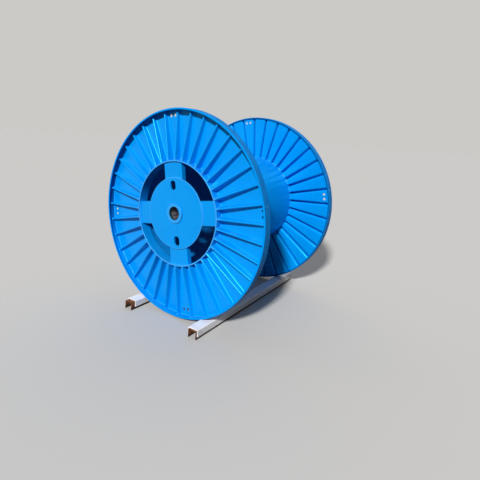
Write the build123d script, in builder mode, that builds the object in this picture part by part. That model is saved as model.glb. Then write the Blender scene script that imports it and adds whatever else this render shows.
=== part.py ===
"""Steel cable drum with corrugated flanges, standing on a pair of covered rails.

Millimetres, +Z up.  The drum's axis lies along Y and its front flange faces -Y.
The origin is on the floor, straight below the middle of the drum.
"""
import os
from math import atan, cos, radians, sin, sqrt

from build123d import *

# Drum as a whole
flange_radius = 800.0
drum_width = 1190.0  # across the outer faces of the two rims
turn_angle = 8.2  # how far the drum has rolled on its rails, seen from the front
seat_gap = 0.3  # clearance wherever round faces sit in or on each other

# Rim: a channel rolled into a hoop, its open side inwards
rim_width = 70.0
rim_lip = 14.0
rim_wall = 5.0
rim_chamfer = 3.0

# Corrugated sheet: a flat disc with narrow radial folds standing outwards
sheet_wall = 3.0
sheet_recess = 58.0  # from the rim's outer face back to the flat panels
fold_count = 36
fold_base_at_hub = 30.0
fold_crest_width = 8.0
fold_drop = 30.0  # how much lower the crest is at the rim than at the hub ring

# Barrel, and the hub ring that it is welded on
barrel_radius = 410.0
barrel_wall = 4.0
hub_ring_wall = 10.0
hub_ring_width = 85.0

# Hub: disc, channel spokes and arbor bushing
hub_disc_radius = 273.0
hub_disc_wall = 10.0
hub_disc_recess = 4.0
spoke_width = 180.0
spoke_depth = 40.0
spoke_wall = 5.0
spoke_corner = 7.0
bushing_radius = 78.5
bushing_length = 100.0
bushing_proud = 8.0  # how far the bushing stands out of the hub disc
bushing_chamfer = 3.0
arbor_bore_radius = 50.0
drive_slot_circle = 213.0  # radius from the axis to a slot's middle
drive_slot_length = 74.0
drive_slot_width = 54.0

# Pairs of holes near the rim, where the cable's end is tied down
cable_hole_radius = 11.0
cable_hole_inset = 50.0  # from the flange's outer edge in to a pair's middle
cable_hole_spacing = 42.0
cable_hole_pairs = 4

# Rails: channels on the floor, open side down
rail_width = 74.0
rail_height = 64.0
rail_wall = 6.0
rail_corner = 9.0
rail_overhang = 130.0  # how far the rails stand out past each rim

# Rail covers: lower and wider channels laid over the rails, which the drum stands on
cover_height = 50.0
cover_wall = 7.0
cover_corner = 9.0
cover_clearance = 1.0  # at each side of the rail
cover_spacing = 584.0  # clear gap between the two covers
cover_setback_left = 35.0  # how far the rail's ends stick out of its cover
cover_setback_right = 8.0

# Places worked out from the sizes above
half_width = drum_width / 2
hub_ring_outer = barrel_radius - barrel_wall - seat_gap
hub_ring_inner = hub_ring_outer - hub_ring_wall
sheet_inner = hub_ring_outer + seat_gap
sheet_outer = flange_radius - rim_wall - seat_gap
sheet_back = sheet_recess + sheet_wall
barrel_length = drum_width - 2 * sheet_back
spoke_face = hub_disc_recess + hub_disc_wall
cable_hole_circle = flange_radius - cable_hole_inset
rail_length = drum_width + 2 * rail_overhang
cover_width = rail_width + 2 * (cover_clearance + cover_wall)
cover_top = rail_height + cover_wall
cover_bend_middle = cover_spacing / 2 + cover_corner
seat_radius = flange_radius + seat_gap + cover_corner
axis_height = cover_top - cover_corner + sqrt(seat_radius**2 - cover_bend_middle**2)

drum_axis = Axis((0, 0, axis_height), (0, 1, 0))
# Half section through the axis: local x runs along the drum, local y is the radius
section = Plane(origin=(0, 0, axis_height), x_dir=(0, 1, 0), z_dir=(1, 0, 0))
# Front face, level with the rim and turned with the drum: local z points outwards
face = Plane(
    origin=(0, -half_width, axis_height),
    x_dir=(cos(radians(turn_angle)), 0, sin(radians(turn_angle))),
    z_dir=(0, -1, 0),
)

os.makedirs("parts", exist_ok=True)


def save(piece, name):
    """Name a finished piece and write it out."""
    piece.part.label = name
    export_step(piece.part, f"parts/{name}.step")


def save_both_ends(piece, name):
    """Write a piece of the front end and its mirror image at the back end."""
    save(piece, f"{name}_front")
    with BuildPart() as back:
        mirror(piece.part, about=Plane.XZ)
    save(back, f"{name}_back")


def channel_section(middle, top, width, depth, wall, corner):
    """Draw a bent channel in the current sketch: web on top, open side down."""
    with Locations((middle, top)):
        Rectangle(width, depth, align=(Align.CENTER, Align.MAX))
    fillet(vertices().group_by(Axis.Y)[-1], corner)
    with Locations((middle, top - wall)):
        Rectangle(width - 2 * wall, depth, align=(Align.CENTER, Align.MAX), mode=Mode.SUBTRACT)
    fillet(vertices(Select.LAST).group_by(Axis.Y)[-1], corner - wall)


# Rims
with BuildPart() as rim:
    with BuildSketch(section):
        with Locations((rim_width / 2 - half_width, flange_radius)):
            Rectangle(rim_width, rim_lip, align=(Align.CENTER, Align.MAX))
        chamfer(vertices().group_by(Axis.Y)[-1], rim_chamfer)
        with Locations((rim_width / 2 - half_width, flange_radius - rim_wall)):
            Rectangle(
                rim_width - 2 * rim_wall,
                rim_lip,
                align=(Align.CENTER, Align.MAX),
                mode=Mode.SUBTRACT,
            )
    revolve(axis=drum_axis)
save_both_ends(rim, "rim")

# Corrugated flange sheets.  A fold has one constant section, pressed less deep
# towards the rim, so it is a straight bar that dips into the sheet by fold_dip.
fold_dip = atan(fold_drop / (sheet_outer - sheet_inner))
fold_lean = (fold_base_at_hub - fold_crest_width) / 2 / sheet_recess
fold_foot = sheet_back + fold_drop  # deep enough to pass right through the sheet
flank_offset = sheet_wall * sqrt(1 + fold_lean**2)


def fold_bar(crest_depth, crest_half_width):
    """A bar along local +Y with a fold's section, its crest this deep below the hub ring's face."""
    with BuildPart() as bar:
        start = Plane(
            origin=(0, sheet_inner, 0),
            x_dir=(1, 0, 0),
            z_dir=(0, -cos(fold_dip), sin(fold_dip)),
        )
        with BuildSketch(start):
            foot_half_width = crest_half_width + fold_lean * (fold_foot - crest_depth)
            with BuildLine():
                Polyline(
                    (-foot_half_width, -fold_foot),
                    (-crest_half_width, -crest_depth),
                    (crest_half_width, -crest_depth),
                    (foot_half_width, -fold_foot),
                    close=True,
                )
            make_face()
        extrude(amount=sheet_outer, both=True)
        # Leave the bar clear of the axis, where it would cross the others
        split(bisect_by=Plane.XZ.offset(-sheet_inner / 2), keep=Keep.BOTTOM)
    return bar.part


fold_outside = fold_bar(0, fold_crest_width / 2)
fold_inside = fold_bar(sheet_wall, fold_crest_width / 2 + fold_lean * sheet_wall - flank_offset)

with BuildPart(face) as flange_sheet:
    with BuildSketch(face.offset(-sheet_back)):
        Circle(sheet_outer)
        Circle(sheet_inner, mode=Mode.SUBTRACT)
    extrude(amount=sheet_wall)
    # The folds stand either side of the spokes' middle lines
    with PolarLocations(0, fold_count, start_angle=180 / fold_count):
        add(fold_outside)
    with PolarLocations(0, fold_count, start_angle=180 / fold_count):
        add(fold_inside, mode=Mode.SUBTRACT)
    with BuildSketch(face.offset(-sheet_back)):
        Circle(sheet_outer)
        Circle(sheet_inner, mode=Mode.SUBTRACT)
    extrude(amount=sheet_back, mode=Mode.INTERSECT)
    with BuildSketch(face.offset(-sheet_recess)):
        with PolarLocations(cable_hole_circle, cable_hole_pairs):
            with GridLocations(0, cable_hole_spacing, 1, 2):
                Circle(cable_hole_radius)
    extrude(amount=-sheet_wall, mode=Mode.SUBTRACT)
save_both_ends(flange_sheet, "flange_sheet")

# Hub rings
with BuildPart() as hub_ring:
    with BuildSketch(section):
        with Locations((-half_width, hub_ring_inner)):
            Rectangle(hub_ring_width, hub_ring_wall, align=(Align.MIN, Align.MIN))
    revolve(axis=drum_axis)
save_both_ends(hub_ring, "hub_ring")

# Barrel, butted between the two flange sheets
with BuildPart() as barrel:
    with BuildSketch(section):
        with Locations((0, barrel_radius)):
            Rectangle(barrel_length, barrel_wall, align=(Align.CENTER, Align.MAX))
    revolve(axis=drum_axis)
save(barrel, "barrel")


def hub_holes():
    """Cut the bushing's hole and the two drive-pin slots from the current sketch."""
    Circle(bushing_radius + seat_gap, mode=Mode.SUBTRACT)
    with GridLocations(0, 2 * drive_slot_circle, 1, 2):
        SlotOverall(drive_slot_length, drive_slot_width, rotation=90, mode=Mode.SUBTRACT)


# Hub discs
with BuildPart() as hub_disc:
    with BuildSketch(face.offset(-spoke_face)):
        Circle(hub_disc_radius)
        hub_holes()
    extrude(amount=hub_disc_wall)
save_both_ends(hub_disc, "hub_disc")

# Long spokes, right across the hub ring behind the disc
with BuildPart() as spoke_long:
    with BuildSketch(Plane(origin=face.origin, x_dir=face.x_dir, z_dir=-face.y_dir)):
        channel_section(0, -spoke_face, spoke_width, spoke_depth, spoke_wall, spoke_corner)
    extrude(amount=hub_ring_outer, both=True)
    with BuildSketch(face):
        Circle(hub_ring_inner - seat_gap)
        hub_holes()
    extrude(amount=-(spoke_face + spoke_depth), mode=Mode.INTERSECT)
save_both_ends(spoke_long, "spoke_long")

# Short spokes, butted against the sides of the long one
for side, name in ((1, "spoke_right"), (-1, "spoke_left")):
    with BuildPart() as spoke_short:
        butt = Plane(
            origin=face.origin + face.x_dir * (side * spoke_width / 2),
            x_dir=face.y_dir * side,
            z_dir=face.x_dir * side,
        )
        with BuildSketch(butt):
            channel_section(0, -spoke_face, spoke_width, spoke_depth, spoke_wall, spoke_corner)
        extrude(amount=hub_ring_outer - spoke_width / 2)
        with BuildSketch(face):
            Circle(hub_ring_inner - seat_gap)
        extrude(amount=-(spoke_face + spoke_depth), mode=Mode.INTERSECT)
    save_both_ends(spoke_short, name)

# Arbor bushings
with BuildPart() as bushing:
    with BuildSketch(section):
        with Locations((hub_disc_recess - bushing_proud - half_width, arbor_bore_radius)):
            Rectangle(
                bushing_length, bushing_radius - arbor_bore_radius, align=(Align.MIN, Align.MIN)
            )
        chamfer(vertices().group_by(Axis.X)[0], bushing_chamfer)
    revolve(axis=drum_axis)
save_both_ends(bushing, "bushing")

# Rails and their covers
for side, name, setback in ((-1, "left", cover_setback_left), (1, "right", cover_setback_right)):
    middle = side * (cover_spacing + cover_width) / 2
    with BuildPart() as rail:
        with BuildSketch(Plane.XZ.offset(rail_length / 2)):
            channel_section(middle, rail_height, rail_width, rail_height, rail_wall, rail_corner)
        extrude(amount=-rail_length)
    save(rail, f"rail_{name}")
    with BuildPart() as cover:
        with BuildSketch(Plane.XZ.offset(rail_length / 2 - setback)):
            channel_section(middle, cover_top, cover_width, cover_height, cover_wall, cover_corner)
        extrude(amount=2 * setback - rail_length)
    save(cover, f"rail_cover_{name}")
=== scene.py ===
"""Looks of a steel cable drum on covered rails: pressed sheets, rolled edges, welds and paint.

Metres, +Z up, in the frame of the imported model.  The drum's axis lies along Y and its front
flange faces -Y.  Every piece of the front end is modelled once and mirrored to the back.
"""
from math import cos, pi, radians, tan

import bmesh
import bpy
from mathutils import Matrix, Vector


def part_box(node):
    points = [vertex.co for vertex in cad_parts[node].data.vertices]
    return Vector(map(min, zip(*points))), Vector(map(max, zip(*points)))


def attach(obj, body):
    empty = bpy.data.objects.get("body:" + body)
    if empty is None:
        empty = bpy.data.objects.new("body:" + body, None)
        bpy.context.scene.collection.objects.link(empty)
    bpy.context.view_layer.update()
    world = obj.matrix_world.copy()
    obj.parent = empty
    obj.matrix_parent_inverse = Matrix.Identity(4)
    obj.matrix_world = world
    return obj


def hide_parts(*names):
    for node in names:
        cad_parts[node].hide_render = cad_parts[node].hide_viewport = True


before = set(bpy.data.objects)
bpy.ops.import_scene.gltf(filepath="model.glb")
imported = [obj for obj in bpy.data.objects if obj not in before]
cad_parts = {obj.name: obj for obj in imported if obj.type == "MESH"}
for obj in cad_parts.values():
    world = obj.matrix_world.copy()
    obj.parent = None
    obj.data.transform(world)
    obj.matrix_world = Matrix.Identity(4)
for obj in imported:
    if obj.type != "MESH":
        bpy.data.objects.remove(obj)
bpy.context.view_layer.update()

# Places that the frame gives; the middle of the drum's width is at Y = 0
rim_low, rim_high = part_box("rim_front")
flange_radius = (rim_high[0] - rim_low[0]) / 2
axis_height = (rim_high[2] + rim_low[2]) / 2
front_face = rim_low[1]
half_width = -front_face
rim_width = rim_high[1] - rim_low[1]

# Sizes repeated from the drum's construction; depths are measured from the flange's face
turn_angle = radians(8.2)
seat_gap = 0.0003
rim_lip = 0.014
rim_wall = 0.005
rim_edge_rounding = 0.0022
ring_edge_rounding = 0.0020
turned_edge_rounding = 0.0016
cut_edge_rounding = 0.0016
sheet_wall = 0.003
sheet_recess = 0.058
sheet_outer = flange_radius - rim_wall - seat_gap
sheet_inner = 0.406
fold_count = 36
fold_foot_at_hub = 0.015
fold_foot_at_rim = 0.0093
fold_crest_half = 0.0072
fold_crest_rounding = 0.0070
fold_foot_rounding = 0.013
fold_height_at_hub = 0.058
fold_height_at_rim = 0.028
hub_ring_outer = 0.4057
hub_ring_wall = 0.010
hub_ring_width = 0.085
hub_disc_radius = 0.273
hub_disc_wall = 0.010
hub_disc_recess = 0.004
spoke_half_width = 0.090
spoke_arms = 4
bushing_radius = 0.0785
bushing_length = 0.100
bushing_proud = 0.008
bore_radius = 0.050
bore_mouth_rounding = 0.004
boss_rounding = 0.0030
drive_slot_circle = 0.213
drive_slot_length = 0.074
drive_slot_width = 0.054
cable_hole_circle = flange_radius - 0.050
cable_hole_radius = 0.011
cable_hole_spacing = 0.042
barrel_radius = 0.410

# Weld beads: half their thickness, and how far their middle line stands off a corner
bead_offset = 0.001
flank_bead_at_hub = 0.0030
flank_bead_at_rim = 0.0028
foot_lump = 0.0055
crest_lump = 0.0045
panel_bead_at_hub = 0.0032
panel_bead_at_rim = 0.0030
spoke_bead = 0.0038
rim_joint_bead = 0.0024
rim_joint_angle = radians(3.8)
weld_lump_size = 0.012
weld_lump_height = 0.0022

# Steps round a full circle; a multiple of 4 for every fold, so that a fold has one in its middle
round_steps = 4 * fold_count
slot_steps = 48
hole_steps = 24
bead_section_steps = 7
panel_bead_steps = 6
spoke_bead_steps = 24

# How near a place has to be for a part of a mesh to be picked by it, or merged with its like
reach = 0.001
merge_distance = 0.00001

# Colours of the paints and metals, as linear red, green and blue
azure_deep = (0.0, 0.254, 0.735)
azure_light = (0.0, 0.270, 0.77)
azure_mottled = (0.0, 0.225, 0.69)
# Paler azure on edges: painted highlight, partly rubbed wear
azure_dusty = (0.05, 0.34, 0.62)
azure_rubbed_highlight = (0.10, 0.40, 0.84)
azure_worn_tread = (0.0, 0.125, 0.40)
# Dark azure for painted shade under the rim's lips
azure_shade_in_channel = (0.0, 0.055, 0.20)
azure_streak = (0.0, 0.21, 0.68)
# Dark azure for painted shade inside the barrel
azure_shade_inside_barrel = (0.0, 0.17, 0.51)
# Pale azure for painted highlight on weld beads
azure_weld_highlight = (0.06, 0.54, 0.92)
azure_boss = (0.045, 0.345, 0.78)
# Dark azure for painted shade under the bushing's boss
azure_shade_under_boss = (0.0, 0.075, 0.28)
steel_bare = (0.62, 0.59, 0.58)
steel_stained = (0.27, 0.20, 0.17)
# Near-black for painted shade in the upper half of the bore
steel_shade_in_bore = (0.045, 0.045, 0.05)
# Dark colour for a band inside the bore's mouth
steel_dark_mouth = (0.01, 0.045, 0.075)
white_clean = (0.84, 0.83, 0.85)
white_grimy = (0.58, 0.55, 0.52)
white_scuffed = (0.40, 0.36, 0.33)
rust_dark = (0.045, 0.015, 0.008)
rust_brown = (0.17, 0.055, 0.02)
rust_orange = (0.36, 0.14, 0.05)
# Near-black for painted shade on the rails under their covers
rust_shade_under_cover = (0.018, 0.012, 0.010)

# Colours of the studio: what lights the drum, and what the camera sees behind it
studio_dim = (0.045, 0.05, 0.06)
studio_bright = (0.85, 0.86, 0.89)
studio_backdrop = (0.60, 0.59, 0.57)
floor_scattering = (0.12, 0.115, 0.11)
floor_seen = (0.531, 0.519, 0.498)


class Wire:
    """An output socket; arithmetic on it adds Math nodes to the same node tree."""

    def __init__(self, nodes, socket):
        self.nodes = nodes
        self.socket = socket

    def math(self, operation, *operands):
        return self.nodes.add("ShaderNodeMath", {"operation": operation}, dict(enumerate(operands)))

    def __add__(self, other):
        return self.math("ADD", self, other)

    def __radd__(self, other):
        return self.math("ADD", other, self)

    def __sub__(self, other):
        return self.math("SUBTRACT", self, other)

    def __rsub__(self, other):
        return self.math("SUBTRACT", other, self)

    def __mul__(self, other):
        return self.math("MULTIPLY", self, other)

    def __rmul__(self, other):
        return self.math("MULTIPLY", other, self)

    def __pow__(self, other):
        return self.math("POWER", self, other)

    def __lt__(self, other):
        return self.math("LESS_THAN", self, other)

    def __gt__(self, other):
        return self.math("GREATER_THAN", self, other)


class Nodes:
    """A node tree that is being built."""

    def __init__(self, tree):
        self.tree = tree

    def add(self, kind, settings=None, inputs=None, output=0):
        """Add a node, make its settings, fill its sockets, and return one of its outputs."""
        node = self.tree.nodes.new(kind)
        for name, value in (settings or {}).items():
            if name == "stops":
                ramp = node.color_ramp
                while len(ramp.elements) < len(value):
                    ramp.elements.new(0.5)
                for element, (place, colour) in zip(ramp.elements, value):
                    element.position = place
                    element.color = (*colour, 1)
            else:
                setattr(node, name, value)
        for name, value in (inputs or {}).items():
            self.fill(node.inputs[name], value)
        return Wire(self, node.outputs[output])

    def fill(self, socket, value):
        """Link a wire to a socket, or set the socket's own value."""
        if isinstance(value, Wire):
            self.tree.links.new(value.socket, socket)
        elif socket.type == "RGBA":
            socket.default_value = (*value, 1)
        else:
            socket.default_value = value

    def place(self, scale=(1, 1, 1)):
        """The point on the object, stretched along its axes."""
        point = self.add("ShaderNodeTexCoord", output="Object")
        return self.add("ShaderNodeMapping", {"vector_type": "POINT"}, {"Vector": point, "Scale": scale})

    def noise(self, scale, detail=3.0, roughness=0.5, stretch=(1, 1, 1)):
        """Soft random blotches between 0 and 1, this many to the metre."""
        return self.add(
            "ShaderNodeTexNoise",
            inputs={"Vector": self.place(stretch), "Scale": scale, "Detail": detail, "Roughness": roughness},
        )

    def ease(self, value, low, high):
        """0 below the low value, 1 above the high one, and smooth between."""
        return self.add(
            "ShaderNodeMapRange",
            {"interpolation_type": "SMOOTHSTEP"},
            {"Value": value, "From Min": low, "From Max": high},
        )

    def blend(self, factor, first, second):
        """The first colour where the factor is 0 and the second where it is 1."""
        return self.add("ShaderNodeMix", {"data_type": "RGBA"}, {0: factor, 6: first, 7: second}, output=2)

    def along(self, axis, vector):
        """How far a vector reaches along the X, Y or Z axis."""
        return self.add("ShaderNodeSeparateXYZ", inputs={"Vector": vector}, output=axis)

    def bump(self, height, depth, normal=None):
        """A normal tilted by a height between 0 and 1 that stands for this depth in metres."""
        inputs = {"Height": height, "Distance": depth}
        if normal:
            inputs["Normal"] = normal
        return self.add("ShaderNodeBump", inputs=inputs)


class Finish(Nodes):
    """A material on the Principled shader."""

    def __init__(self, name):
        self.material = bpy.data.materials.new(name)
        self.material.use_nodes = True
        super().__init__(self.material.node_tree)
        self.shader = self.tree.nodes["Principled BSDF"]

    def surface(self, **sockets):
        """Fill the shader's sockets; an underscore in a name stands for a space."""
        for name, value in sockets.items():
            self.fill(self.shader.inputs[name.replace("_", " ")], value)
        return self.material


def upward(finish):
    """1 on surfaces that face up, 0 on walls and -1 on undersides."""
    normal = finish.add("ShaderNodeNewGeometry", output="Normal")
    return finish.along("Z", normal)


def from_axis(finish):
    """Distance from the drum's axis."""
    point = finish.add("ShaderNodeTexCoord", output="Object")
    centred = finish.add(
        "ShaderNodeMapping", {"vector_type": "POINT"}, {"Vector": point, "Location": (0, 0, -axis_height)}
    )
    across = finish.along("X", centred)
    height = finish.along("Z", centred)
    return (across * across + height * height) ** 0.5


def from_middle(finish):
    """Distance along the drum from the middle of its width."""
    point = finish.add("ShaderNodeTexCoord", output="Object")
    depth = finish.along("Y", point)
    return depth.math("ABSOLUTE", depth)


def azure(finish):
    """The colour of the blue enamel, a little cloudy, and how much dust lies on it, from 0 to 1."""
    cloud = finish.ease(finish.noise(2.3, detail=4), 0.35, 0.65)
    mottle = finish.ease(finish.noise(38, detail=4, roughness=0.6), 0.42, 0.72)
    paint = finish.blend(cloud, azure_deep, azure_light)
    paint = finish.blend(mottle * 0.3, paint, azure_mottled)
    dust = finish.ease(upward(finish), 0.55, 0.98) * finish.ease(finish.noise(11, detail=6), 0.38, 0.66)
    return finish.blend(dust * 0.14, paint, azure_dusty), dust


def enamel(name):
    """Glossy enamel over steel that isn't quite flat, paler on the foremost edges and the hub disc's edge:
    painted highlight, partly rubbed wear.
    """
    finish = Finish(name)
    paint, dust = azure(finish)
    # Foremost edges and the hub disc's edge are painted paler: painted highlight, partly rubbed wear
    foremost = finish.ease(from_middle(finish), half_width - 0.0035, half_width - 0.001)
    radius = from_axis(finish)
    disc_edge_highlight = finish.ease(radius, hub_disc_radius - 0.006, hub_disc_radius - 0.003)
    disc_edge_highlight = disc_edge_highlight * (radius < hub_disc_radius + 0.0005)
    disc_edge_highlight = disc_edge_highlight * (from_middle(finish) > half_width - hub_disc_recess - 0.003)
    rubbed_and_highlight = foremost.math("MAXIMUM", foremost, disc_edge_highlight)
    orange_peel = finish.bump(finish.noise(420, detail=2), 0.00010)
    waves = finish.noise(7, detail=2)
    return finish.surface(
        Base_Color=finish.blend(rubbed_and_highlight * 0.4, paint, azure_rubbed_highlight),
        Roughness=0.29 + dust * 0.25,
        Normal=finish.bump(waves, 0.0016, normal=orange_peel),
        Specular_IOR_Level=0.85,
        Specular_Tint=(0.06, 0.92, 1.0),
    )


def tread_enamel(name):
    """The enamel on a rim: glossy on its lip, rubbed dull on the tread, and painted darker where it faces
    down inside the channel: painted shade.
    """
    finish = Finish(name)
    paint, dust = azure(finish)
    between_lips = 1 - finish.ease(from_middle(finish), half_width - 0.006, half_width - 0.003)
    outside = finish.ease(from_axis(finish), flange_radius - 0.004, flange_radius - 0.002)
    tread = between_lips * outside
    rubbed_and_highlight = tread * finish.ease(finish.noise(14, detail=6, roughness=0.6), 0.30, 0.75)
    # Inside the channel, surfaces that face down are painted darker: painted shade
    painted_shade_under_lips = between_lips * (1 - outside) * (1 - finish.ease(upward(finish), 0.0, 0.6))
    paint = finish.blend(painted_shade_under_lips * 0.75, paint, azure_shade_in_channel)
    return finish.surface(
        Base_Color=finish.blend(tread * 0.38 + rubbed_and_highlight * 0.34, paint, azure_worn_tread),
        Roughness=0.28 + dust * 0.2 + tread * 0.2,
        Normal=finish.bump(finish.noise(60, detail=3), 0.0003),
        Specular_IOR_Level=0.06,
        Specular_Tint=(0.1, 0.9, 1.0),
    )


def barrel_enamel(name):
    """The enamel on the barrel: faint streaks along it outside, and inside a duller coat painted darker as
    painted shade.
    """
    finish = Finish(name)
    paint, dust = azure(finish)
    streaks = finish.noise(11, detail=3, stretch=(1, 0.05, 1))
    # The barrel's inside is painted darker: painted shade
    inside = 1 - finish.ease(from_axis(finish), barrel_radius - 0.003, barrel_radius - 0.001)
    paint = finish.blend(finish.ease(streaks, 0.42, 0.62) * 0.4, paint, azure_streak)
    return finish.surface(
        Base_Color=finish.blend(inside, paint, azure_shade_inside_barrel),
        Roughness=0.30 + dust * 0.3 + inside * 0.45,
        Normal=finish.bump(streaks, 0.0016),
        Specular_IOR_Level=0.42,
        Specular_Tint=(0.3, 0.9, 1.0),
    )


def weld_enamel(name):
    """The same enamel over rippled weld metal, paler in patches as painted highlight."""
    finish = Finish(name)
    paint, dust = azure(finish)
    ripple = finish.noise(330, detail=3)
    return finish.surface(
        # Paler patches on the beads: painted highlight
        Base_Color=finish.blend(finish.ease(ripple, 0.40, 0.70) * 0.7, paint, azure_weld_highlight),
        Roughness=0.24 + dust * 0.2,
        Normal=finish.bump(ripple, 0.0012),
        Specular_IOR_Level=0.5,
        Specular_Tint=(0.4, 0.9, 1.0),
    )


def turned_steel(name):
    """Blue enamel outside, with painted shade on the boss's side wall below; in the bore, a dark mouth and
    bare turned steel with brown stains, with painted shade where it faces down.
    """
    finish = Finish(name)
    paint = azure(finish)[0]
    radius = from_axis(finish)
    ragged_edge = finish.noise(90, detail=4) * 0.0024
    bare = 1 - finish.ease(radius + ragged_edge, bore_radius + 0.0032, bore_radius + 0.0046)
    proud = finish.ease(from_middle(finish), half_width + 0.002, half_width + 0.0038)
    paint = finish.blend(proud * 0.5, paint, azure_boss)
    # The boss's side wall is painted darker where it faces down: painted shade
    side = finish.ease(radius, bushing_radius - 0.0020, bushing_radius - 0.0006)
    painted_shade_below = side * (1 - finish.ease(upward(finish), -0.15, 0.35))
    paint = finish.blend(painted_shade_below * 0.75, paint, azure_shade_under_boss)
    # A dark band inside the bore's mouth
    mouth = bare * finish.ease(from_middle(finish) + ragged_edge, half_width - 0.030, half_width - 0.016)
    stain = finish.ease(finish.noise(48, detail=6, roughness=0.6, stretch=(1, 0.3, 1)), 0.36, 0.76)
    # Bore surfaces that face down are painted near-black: painted shade
    painted_shade_in_bore = 1 - finish.ease(upward(finish), -0.5, 0.35)
    metal = finish.blend(stain, steel_bare, steel_stained)
    metal = finish.blend(painted_shade_in_bore * 0.85, metal, steel_shade_in_bore)
    metal = finish.blend(mouth, metal, steel_dark_mouth)
    return finish.surface(
        Base_Color=finish.blend(bare, paint, metal),
        Roughness=0.26 + bare * 0.06 + bare * stain * 0.30,
        Metallic=bare * (1 - mouth) * (1 - stain * 0.5),
        Specular_IOR_Level=0.5,
        Specular_Tint=(0.2, 0.9, 1.0),
    )


def white_enamel(name):
    """Satin white paint, greyed by dust and scuffed along the rail."""
    finish = Finish(name)
    grime_and_painted_shade = finish.ease(finish.noise(9, detail=7, roughness=0.62), 0.45, 0.75)
    scuffs = finish.ease(finish.noise(30, detail=5, roughness=0.7, stretch=(1, 0.12, 1)), 0.60, 0.72)
    paint = finish.blend(grime_and_painted_shade * 0.45, white_clean, white_grimy)
    return finish.surface(
        Base_Color=finish.blend(scuffs * 0.5, paint, white_scuffed),
        Roughness=0.42 + grime_and_painted_shade * 0.2,
        Normal=finish.bump(scuffs, -0.0004),
        Specular_IOR_Level=0.4,
    )


def rust(name):
    """Bare steel rusted brown all over, and painted near-black low down under the covers: painted shade."""
    finish = Finish(name)
    crust = finish.noise(60, detail=8, roughness=0.65)
    height = finish.along("Z", finish.add("ShaderNodeTexCoord", output="Object"))
    # The rails' lowest strip, under the covers, is painted near-black: painted shade
    grime_and_painted_shade = 1 - finish.ease(height + crust * 0.008, 0.022, 0.032)
    colour = finish.add(
        "ShaderNodeValToRGB",
        {"stops": [(0.3, rust_dark), (0.52, rust_brown), (0.75, rust_orange)]},
        {"Fac": crust},
    )
    colour = finish.blend(grime_and_painted_shade * 0.85, colour, rust_shade_under_cover)
    return finish.surface(Base_Color=colour, Roughness=0.88, Normal=finish.bump(crust, 0.0008))


blue = enamel("azure_enamel")
rubbed_blue = tread_enamel("tread_enamel")
streaked_blue = barrel_enamel("barrel_enamel")
welded = weld_enamel("weld_enamel")
steel = turned_steel("turned_steel")
white = white_enamel("white_enamel")
brown = rust("rusted_steel")


def clear_selection():
    """Select nothing, the CAD nodes included."""
    bpy.ops.object.select_all(action="DESELECT")


def select_only(piece):
    """Select one piece and make it the active one."""
    clear_selection()
    piece.select_set(True)
    bpy.context.view_layer.objects.active = piece


def join(pieces):
    """Make one object of several; the last one lends its name and place."""
    clear_selection()
    for piece in pieces:
        piece.select_set(True)
    bpy.context.view_layer.objects.active = pieces[-1]
    bpy.ops.object.join()
    return bpy.context.object


def middle(part):
    """The middle of an edge or face."""
    return sum((vertex.co for vertex in part.verts), Vector()) / len(part.verts)


def pick(kind, test):
    """In edit mode, select only the vertices, edges or faces that pass the test."""
    bpy.ops.mesh.select_mode(type=kind)
    bpy.ops.mesh.select_all(action="DESELECT")
    mesh = bmesh.from_edit_mesh(bpy.context.edit_object.data)
    parts = {"VERT": mesh.verts, "EDGE": mesh.edges, "FACE": mesh.faces}[kind]
    for part in parts:
        if test(part):
            part.select_set(True)
    mesh.select_flush_mode()
    bmesh.update_edit_mesh(bpy.context.edit_object.data)


def modify(kind, **settings):
    """Add a modifier to the active object and apply it."""
    bpy.ops.object.modifier_add(type=kind)
    modifier = bpy.context.object.modifiers[-1]
    for name, value in settings.items():
        setattr(modifier, name, value)
    bpy.ops.object.modifier_apply(modifier=modifier.name)


def round_edges(radius):
    """Round all the sharp edges of the active object."""
    modify("BEVEL", width=radius, segments=3, limit_method="ANGLE", angle_limit=radians(40))


def settle():
    """Put the active object's place and turn into its mesh."""
    bpy.ops.object.transform_apply(location=True, rotation=True, scale=True)


def face_outwards():
    """Merge what coincides in the active object and turn all its faces outwards."""
    bpy.ops.object.mode_set(mode="EDIT")
    bpy.ops.mesh.select_all(action="SELECT")
    bpy.ops.mesh.remove_doubles(threshold=merge_distance)
    bpy.ops.mesh.normals_make_consistent(inside=False)
    bpy.ops.object.mode_set(mode="OBJECT")


def repeat_round(count):
    """In edit mode, repeat all that is there this many times round the drum's axis."""
    bpy.ops.mesh.select_all(action="SELECT")
    bpy.ops.mesh.spin(
        steps=count - 1,
        dupli=True,
        angle=2 * pi * (1 - 1 / count),
        center=(0, 0, 0),
        axis=(0, 1, 0),
    )


def hand_over(piece, name, finish, node=None):
    """Name and dress a modelled piece, let it ride with the drum and stand for its CAD node."""
    select_only(piece)
    piece.name = name
    piece.data.name = name
    bpy.ops.object.shade_smooth_by_angle(angle=radians(35))
    modify("WEIGHTED_NORMAL", keep_sharp=True)
    piece.data.materials.clear()
    piece.data.materials.append(finish)
    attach(piece, "root")
    if node:
        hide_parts(node)
    clear_selection()


def fit_both_ends(name, finish, node=None):
    """Turn the active piece with the drum, set it in the front flange and mirror it to the back."""
    front = bpy.context.object
    front.location = (0, front_face, axis_height)
    front.rotation_euler.y = -turn_angle
    settle()
    face_outwards()
    bpy.ops.object.duplicate()
    back = bpy.context.object
    back.scale.y = -1
    settle()
    face_outwards()
    for piece, end in ((front, "front"), (back, "back")):
        hand_over(piece, f"{name}_{end}", finish, node and f"{node}_{end}")


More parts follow.
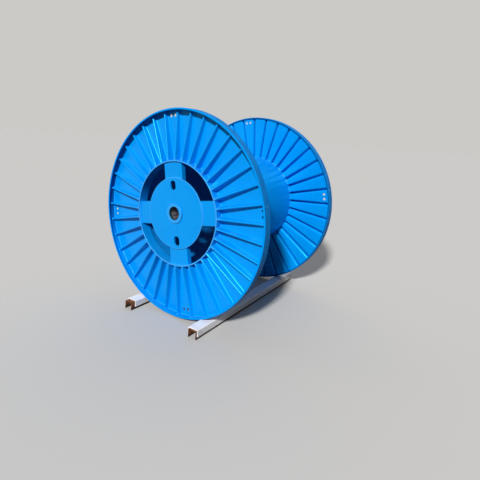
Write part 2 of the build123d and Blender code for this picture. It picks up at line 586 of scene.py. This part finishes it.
# The front end's pieces are modelled about the origin, with the drum's axis along Y and the
# front flange's face at Y = 0, and are then turned and set in place by fit_both_ends
def tube(radius, depth, length, ends="NOTHING"):
    """Add a cylinder on the drum's axis, starting at this depth."""
    clear_selection()
    bpy.ops.mesh.primitive_cylinder_add(
        vertices=round_steps,
        radius=radius,
        depth=length,
        end_fill_type=ends,
        location=(0, depth + length / 2, 0),
        rotation=(pi / 2, 0, 0),
    )
    settle()


# Rims: a rolled tread with both edges drawn inwards as lips
tube(flange_radius, 0, rim_width)
bpy.ops.object.mode_set(mode="EDIT")
pick("EDGE", lambda edge: edge.is_boundary)
bpy.ops.mesh.extrude_edges_move()
lip_scale = (flange_radius - rim_lip) / flange_radius
bpy.ops.transform.resize(value=(lip_scale, 1, lip_scale), center_override=(0, 0, 0))
bpy.ops.object.mode_set(mode="OBJECT")
modify("SOLIDIFY", thickness=rim_wall, offset=-1, use_even_offset=True)
round_edges(rim_edge_rounding)
fit_both_ends("rolled_rim", rubbed_blue, "rim")

# Hub rings: rolled flat bar
tube(hub_ring_outer, 0, hub_ring_width)
modify("SOLIDIFY", thickness=hub_ring_wall, offset=-1, use_even_offset=True)
round_edges(ring_edge_rounding)
fit_both_ends("rolled_hub_ring", blue, "hub_ring")

# Bushings: a turned boss
tube(bushing_radius, hub_disc_recess - bushing_proud, bushing_length)
modify("SOLIDIFY", thickness=bushing_radius - bore_radius, offset=-1, use_even_offset=True)
bpy.ops.object.mode_set(mode="EDIT")
pick("EDGE", lambda edge: middle(edge).y < 0 and middle(edge).xz.length < bore_radius + reach)
bpy.ops.mesh.bevel(offset=bore_mouth_rounding, segments=4, affect="EDGES")
pick("EDGE", lambda edge: middle(edge).y < 0 and middle(edge).xz.length > bushing_radius - reach)
bpy.ops.mesh.bevel(offset=boss_rounding, segments=4, affect="EDGES")
bpy.ops.object.mode_set(mode="OBJECT")
round_edges(turned_edge_rounding)
fit_both_ends("turned_bushing", steel, "bushing")


# Hub discs: flame-cut plate with the bushing's hole and two slots for driving pins
def slot_cutter(side):
    """A block with round ends that cuts the upper (1) or lower (-1) driving slot."""
    clear_selection()
    bpy.ops.mesh.primitive_cylinder_add(
        vertices=slot_steps,
        radius=drive_slot_width / 2,
        depth=4 * hub_disc_wall,
        location=(0, hub_disc_recess, side * drive_slot_circle),
        rotation=(pi / 2, 0, 0),
    )
    settle()
    bpy.ops.object.mode_set(mode="EDIT")
    for end in (-1, 1):
        pick("VERT", lambda vertex: end * (vertex.co.z - side * drive_slot_circle) > reach)
        bpy.ops.transform.translate(value=(0, 0, end * (drive_slot_length - drive_slot_width) / 2))
    bpy.ops.object.mode_set(mode="OBJECT")
    return bpy.context.object


def cut_away(piece, cutters):
    """Cut the joined cutters out of a piece."""
    cutter = join(cutters)
    select_only(piece)
    modify("BOOLEAN", operation="DIFFERENCE", object=cutter, solver="EXACT")
    bpy.data.objects.remove(cutter)
    select_only(piece)


tube(hub_disc_radius, hub_disc_recess, hub_disc_wall, ends="NGON")
disc = bpy.context.object
tube(bushing_radius + seat_gap, hub_disc_recess - hub_disc_wall, 3 * hub_disc_wall, ends="NGON")
bushing_cutter = bpy.context.object
cut_away(disc, [slot_cutter(1), slot_cutter(-1), bushing_cutter])
round_edges(cut_edge_rounding)
fit_both_ends("cut_hub_disc", blue, "hub_disc")


# Corrugated sheets: one pressed panel with its fold, repeated round the hub
def cut_along(x_at_hub, x_at_rim):
    """Cut the panel along a line from the hub to the rim."""
    bpy.ops.mesh.select_all(action="SELECT")
    bpy.ops.mesh.bisect(
        plane_co=(x_at_hub, 0, sheet_inner),
        plane_no=(sheet_outer - sheet_inner, 0, x_at_hub - x_at_rim),
    )


def raise_crest(height, nearest, farthest):
    """Pull the crest's corners between two distances from the axis out of the panel."""
    pick("VERT", lambda v: abs(v.co.x) < fold_crest_half + reach and nearest < v.co.z < farthest)
    bpy.ops.transform.translate(value=(0, -height, 0))


def round_fold(radius, nearest, farthest):
    """Round the bends that run from hub to rim between two distances from the fold's middle."""
    long_bend = (sheet_outer - sheet_inner) / 2
    pick("EDGE", lambda edge: edge.calc_length() > long_bend and nearest < abs(middle(edge).x) < farthest)
    bpy.ops.mesh.bevel(offset=radius, segments=3, affect="EDGES")


clear_selection()
bpy.ops.mesh.primitive_circle_add(
    vertices=round_steps, radius=sheet_outer, fill_type="NGON", rotation=(pi / 2, 0, 0)
)
settle()
bpy.ops.object.mode_set(mode="EDIT")
bpy.ops.mesh.select_all(action="SELECT")
bpy.ops.mesh.inset(thickness=(sheet_outer - sheet_inner) * cos(pi / round_steps))
bpy.ops.mesh.delete(type="FACE")
half_pitch = tan(pi / fold_count)
pick("FACE", lambda face: abs(middle(face).x) > half_pitch * middle(face).z)
bpy.ops.mesh.delete(type="FACE")
bpy.ops.mesh.select_all(action="SELECT")
bpy.ops.mesh.dissolve_faces()
for side in (-1, 1):
    cut_along(side * fold_foot_at_hub, side * fold_foot_at_rim)
    cut_along(side * fold_crest_half, side * fold_crest_half)
raise_crest(fold_height_at_hub, 0, sheet_inner + reach)
raise_crest(fold_height_at_rim, sheet_outer - reach, flange_radius)
round_fold(fold_crest_rounding, fold_crest_half - reach, fold_crest_half + reach)
round_fold(fold_foot_rounding, fold_foot_at_rim, fold_foot_at_hub)
bpy.ops.mesh.select_all(action="SELECT")
bpy.ops.transform.rotate(value=pi / fold_count, orient_axis="Y", center_override=(0, 0, 0))
repeat_round(fold_count)
bpy.ops.mesh.select_all(action="SELECT")
bpy.ops.mesh.remove_doubles(threshold=2 * merge_distance)
bpy.ops.object.mode_set(mode="OBJECT")
modify("SOLIDIFY", thickness=sheet_wall, offset=-1, use_even_offset=True)
sheet = bpy.context.object
sheet.location.y = sheet_recess
settle()
drills = []
for quarter in range(4):
    for side in (-1, 1):
        place = Matrix.Rotation(quarter * pi / 2, 4, "Y") @ Vector(
            (side * cable_hole_spacing / 2, sheet_recess, cable_hole_circle)
        )
        bpy.ops.mesh.primitive_cylinder_add(
            vertices=hole_steps,
            radius=cable_hole_radius,
            depth=6 * sheet_wall,
            location=place,
            rotation=(pi / 2, 0, 0),
        )
        drills.append(bpy.context.object)
cut_away(sheet, drills)
fit_both_ends("pressed_sheet", blue, "flange_sheet")


# Weld beads, modelled at 12 o'clock and repeated round the drum
def bead(start, end, thickness):
    """A short bead: a ball drawn out between two places."""
    start = Vector(start)
    end = Vector(end)
    clear_selection()
    bpy.ops.mesh.primitive_uv_sphere_add(
        segments=8, ring_count=6, radius=thickness, location=(start + end) / 2
    )
    ball = bpy.context.object
    ball.rotation_euler = (end - start).to_track_quat("Z", "Y").to_euler()
    ball.scale.z = 1 + (end - start).length / 2 / thickness
    settle()
    return ball


def arc_bead(radius, depth, half_angle, steps, thickness):
    """A bead along an arc about the axis, with its middle at 12 o'clock."""
    clear_selection()
    bpy.ops.mesh.primitive_circle_add(
        vertices=bead_section_steps,
        radius=thickness,
        fill_type="NGON",
        location=(0, depth, radius),
        rotation=(0, pi / 2, 0),
    )
    settle()
    profile = bpy.context.object
    profile.rotation_euler.y = half_angle
    settle()
    bpy.ops.object.mode_set(mode="EDIT")
    bpy.ops.mesh.select_all(action="SELECT")
    bpy.ops.mesh.spin(steps=steps, angle=2 * half_angle, center=(0, 0, 0), axis=(0, 1, 0))
    bpy.ops.object.mode_set(mode="OBJECT")
    return profile


def repeat_beads(beads, count, offset=0.0):
    """Join beads, turn them by an offset and repeat them round the axis."""
    group = join(beads)
    group.rotation_euler.y = offset
    settle()
    bpy.ops.object.mode_set(mode="EDIT")
    repeat_round(count)
    bpy.ops.object.mode_set(mode="OBJECT")
    return group


def rim_joint():
    """The bead across the tread where the rolled rim's ends meet, a little above 3 o'clock."""
    place = Matrix.Rotation(-rim_joint_angle, 4, "Y") @ Vector((flange_radius - bead_offset, 0, 0))
    inset = 2 * bead_offset
    return bead((place.x, inset, place.z), (place.x, rim_width - inset, place.z), rim_joint_bead)


hub_seam = sheet_inner + bead_offset
rim_seam = sheet_outer - bead_offset
at_folds = []
for side in (-1, 1):
    at_folds.append(
        bead(
            (side * (fold_crest_half + bead_offset), 4 * bead_offset, hub_seam),
            (side * fold_foot_at_hub, sheet_recess - 2 * bead_offset, hub_seam),
            flank_bead_at_hub,
        )
    )
    foot = side * (fold_foot_at_hub + 3 * bead_offset)
    lump_depth = sheet_recess - 3 * bead_offset
    at_folds.append(
        bead((foot, lump_depth, hub_seam), (foot, lump_depth, hub_seam + 4 * bead_offset), foot_lump)
    )
    at_folds.append(
        bead(
            (side * fold_crest_half, sheet_recess - fold_height_at_rim, rim_seam),
            (side * fold_foot_at_rim, sheet_recess - 2 * bead_offset, rim_seam),
            flank_bead_at_rim,
        )
    )
crest_depth = sheet_recess - fold_height_at_rim - bead_offset
crest_end = rim_seam - bead_offset
lump_half = 3 * bead_offset
at_folds.append(bead((-lump_half, crest_depth, crest_end), (lump_half, crest_depth, crest_end), crest_lump))

# Beads along the panels and over the spokes, by half the angle that each one covers
panel_at_hub = pi / fold_count - fold_foot_at_hub / sheet_inner
panel_at_rim = pi / fold_count - fold_foot_at_rim / sheet_outer
spoke_at_disc = spoke_half_width / hub_disc_radius
spoke_at_ring = spoke_half_width / hub_ring_outer
panel_front = sheet_recess - bead_offset
panel_back = sheet_recess + sheet_wall + bead_offset
barrel_seam = barrel_radius + bead_offset
spoke_front = hub_disc_recess + hub_disc_wall - bead_offset
disc_seam = hub_disc_radius + bead_offset
ring_seam = hub_ring_outer - hub_ring_wall - bead_offset
welds = [repeat_beads(at_folds, fold_count, pi / fold_count)]
for radius, depth, half_angle, thickness in (
    (hub_seam, panel_front, panel_at_hub, panel_bead_at_hub),
    (rim_seam, panel_front, panel_at_rim, panel_bead_at_rim),
    (barrel_seam, panel_back, panel_at_hub, panel_bead_at_hub),
):
    arc = arc_bead(radius, depth, half_angle, panel_bead_steps, thickness)
    welds.append(repeat_beads([arc], fold_count))
for radius, half_angle in ((disc_seam, spoke_at_disc), (ring_seam, spoke_at_ring)):
    arc = arc_bead(radius, spoke_front, half_angle, spoke_bead_steps, spoke_bead)
    welds.append(repeat_beads([arc], spoke_arms))
welds.append(rim_joint())
join(welds)
lumps = bpy.data.textures.new("weld_lumps", "CLOUDS")
lumps.noise_scale = weld_lump_size
modify("DISPLACE", texture=lumps, strength=weld_lump_height, mid_level=0.5, texture_coords="LOCAL")
fit_both_ends("weld_beads", welded)

# The other pieces keep the shape of their CAD nodes
for name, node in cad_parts.items():
    finish = blue
    if name == "barrel":
        finish = streaked_blue
    elif name.startswith("rail_cover"):
        finish = white
    elif name.startswith("rail"):
        finish = brown
    node.data.materials.clear()
    node.data.materials.append(finish)


# Camera: fitted to the photograph's circles and rails
def look():
    """A camera right of the drum and a little above it, turned to the left and down."""
    bpy.ops.object.camera_add()
    camera = bpy.context.object
    place = (1.9594, -2.6393, 1.4359)
    heading = radians(34.049)
    pitch = radians(-4.678)
    roll = radians(3.03)
    camera.matrix_world = (
        Matrix.Translation(place)
        @ Matrix.Rotation(heading, 4, "Z")
        @ Matrix.Rotation(pi / 2 + pitch, 4, "X")
        @ Matrix.Rotation(roll, 4, "Z")
    )
    camera.data.sensor_width = 36
    camera.data.lens = 27.95
    camera.data.shift_y = -0.156
    camera.data.clip_end = 200
    bpy.context.scene.camera = camera


look()

# Light: a key lamp where the sun stands in the photograph, and a world that is brighter behind
bpy.ops.object.light_add(type="SUN", location=(1.5, -4, 4))
key = bpy.context.object
key.name = "key"
towards_sun = Vector((0.265, -0.785, 0.56))
key.rotation_euler = towards_sun.to_track_quat("Z", "Y").to_euler()
key.data.energy = 4.4
key.data.angle = radians(5)


def seen_plainly(nodes):
    """1 for what the camera sees, also in gloss and through glass; 0 for light that is scattered."""
    direct = nodes.add("ShaderNodeLightPath", output="Is Camera Ray")
    gloss = nodes.add("ShaderNodeLightPath", output="Is Glossy Ray")
    through = nodes.add("ShaderNodeLightPath", output="Is Transmission Ray")
    return nodes.add(
        "ShaderNodeMath", {"operation": "ADD", "use_clamp": True}, {0: direct + gloss, 1: through}
    )


world = bpy.data.worlds.new("studio")
world.use_nodes = True
bpy.context.scene.world = world
studio = Nodes(world.node_tree)
direction = studio.add("ShaderNodeTexCoord", output="Generated")
brightest_side = (-0.55, 0.75, 0.37)
towards_bright = studio.add(
    "ShaderNodeVectorMath", {"operation": "DOT_PRODUCT"}, {0: direction, 1: brightest_side}, output=1
)
glow = studio.blend(studio.ease(towards_bright, 0.0, 0.9), studio_dim, studio_bright)
shade = studio.blend(seen_plainly(studio), glow, studio_backdrop)
studio.fill(world.node_tree.nodes["Background"].inputs["Color"], shade)

bpy.ops.mesh.primitive_plane_add(size=160)
floor = bpy.context.object
floor.name = "floor"
ground = Finish("floor_paint")
ground_colour = ground.blend(seen_plainly(ground), floor_scattering, floor_seen)
floor.data.materials.append(ground.surface(Base_Color=ground_colour, Roughness=1.0, Specular_IOR_Level=0.0))

bpy.context.scene.view_settings.view_transform = "Standard"
